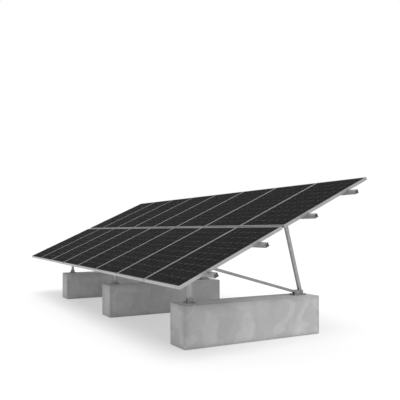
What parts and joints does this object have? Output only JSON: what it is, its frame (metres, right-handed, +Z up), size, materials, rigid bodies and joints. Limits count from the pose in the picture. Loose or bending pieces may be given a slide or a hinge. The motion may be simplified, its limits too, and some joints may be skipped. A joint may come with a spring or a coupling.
{
  "type": "solar ballast mount",
  "caption": "Ground-mounted table of framed solar modules on a braced steel frame, held down by long concrete ballast blocks.",
  "frame": {"origin": "centre of the table's footprint, on the ground", "axes": "+X along the rows of modules, +Y from the table's low edge to its high edge, +Z up"},
  "size_m": [8.36, 3.0258, 2.3781],
  "materials": {
    "concrete": "precast concrete, matt, lightly clouded",
    "foot_steel": "galvanised steel, weathered dark",
    "galvanised_steel": "hot-dip galvanised, matt",
    "purlin_steel": "zinc-coated sheet",
    "fastener_steel": "galvanised bolts",
    "anodised_aluminium": "clear anodised, satin",
    "clamp_aluminium": "mill finish, satin",
    "solar_laminate": "dark cells under glass, pale backsheet"
  },
  "bodies": {
    "root": {"ballast_left": "concrete", "ballast_middle": "concrete", "ballast_right": "concrete", "foot_brackets": "foot_steel", "anchor_bolts": "fastener_steel", "front_post_left": "galvanised_steel", "front_post_middle": "galvanised_steel", "front_post_right": "galvanised_steel", "rear_post_left": "galvanised_steel", "rear_post_middle": "galvanised_steel", "rear_post_right": "galvanised_steel", "diagonal_brace_left": "galvanised_steel", "diagonal_brace_middle": "galvanised_steel", "diagonal_brace_right": "galvanised_steel", "rafter_left": "galvanised_steel", "rafter_middle": "galvanised_steel", "rafter_right": "galvanised_steel", "cross_brace_left": "galvanised_steel", "cross_brace_right": "galvanised_steel", "pivot_bolts": "fastener_steel", "purlin_1": "purlin_steel", "purlin_2": "purlin_steel", "purlin_3": "purlin_steel", "purlin_4": "purlin_steel", "purlin_cleats": "foot_steel", "cleat_bolts": "fastener_steel", "module_frame_1_1": "anodised_aluminium", "module_frame_1_2": "anodised_aluminium", "module_frame_1_3": "anodised_aluminium", "module_frame_1_4": "anodised_aluminium", "module_frame_1_5": "anodised_aluminium", "module_frame_1_6": "anodised_aluminium", "module_frame_1_7": "anodised_aluminium", "module_frame_1_8": "anodised_aluminium", "module_frame_2_1": "anodised_aluminium", "module_frame_2_2": "anodised_aluminium", "module_frame_2_3": "anodised_aluminium", "module_frame_2_4": "anodised_aluminium", "module_frame_2_5": "anodised_aluminium", "module_frame_2_6": "anodised_aluminium", "module_frame_2_7": "anodised_aluminium", "module_frame_2_8": "anodised_aluminium", "laminate_1_1": "solar_laminate", "laminate_1_2": "solar_laminate", "laminate_1_3": "solar_laminate", "laminate_1_4": "solar_laminate", "laminate_1_5": "solar_laminate", "laminate_1_6": "solar_laminate", "laminate_1_7": "solar_laminate", "laminate_1_8": "solar_laminate", "laminate_2_1": "solar_laminate", "laminate_2_2": "solar_laminate", "laminate_2_3": "solar_laminate", "laminate_2_4": "solar_laminate", "laminate_2_5": "solar_laminate", "laminate_2_6": "solar_laminate", "laminate_2_7": "solar_laminate", "laminate_2_8": "solar_laminate", "mid_clamps": "clamp_aluminium", "end_clamps": "clamp_aluminium"}
  },
  "joints": []
}
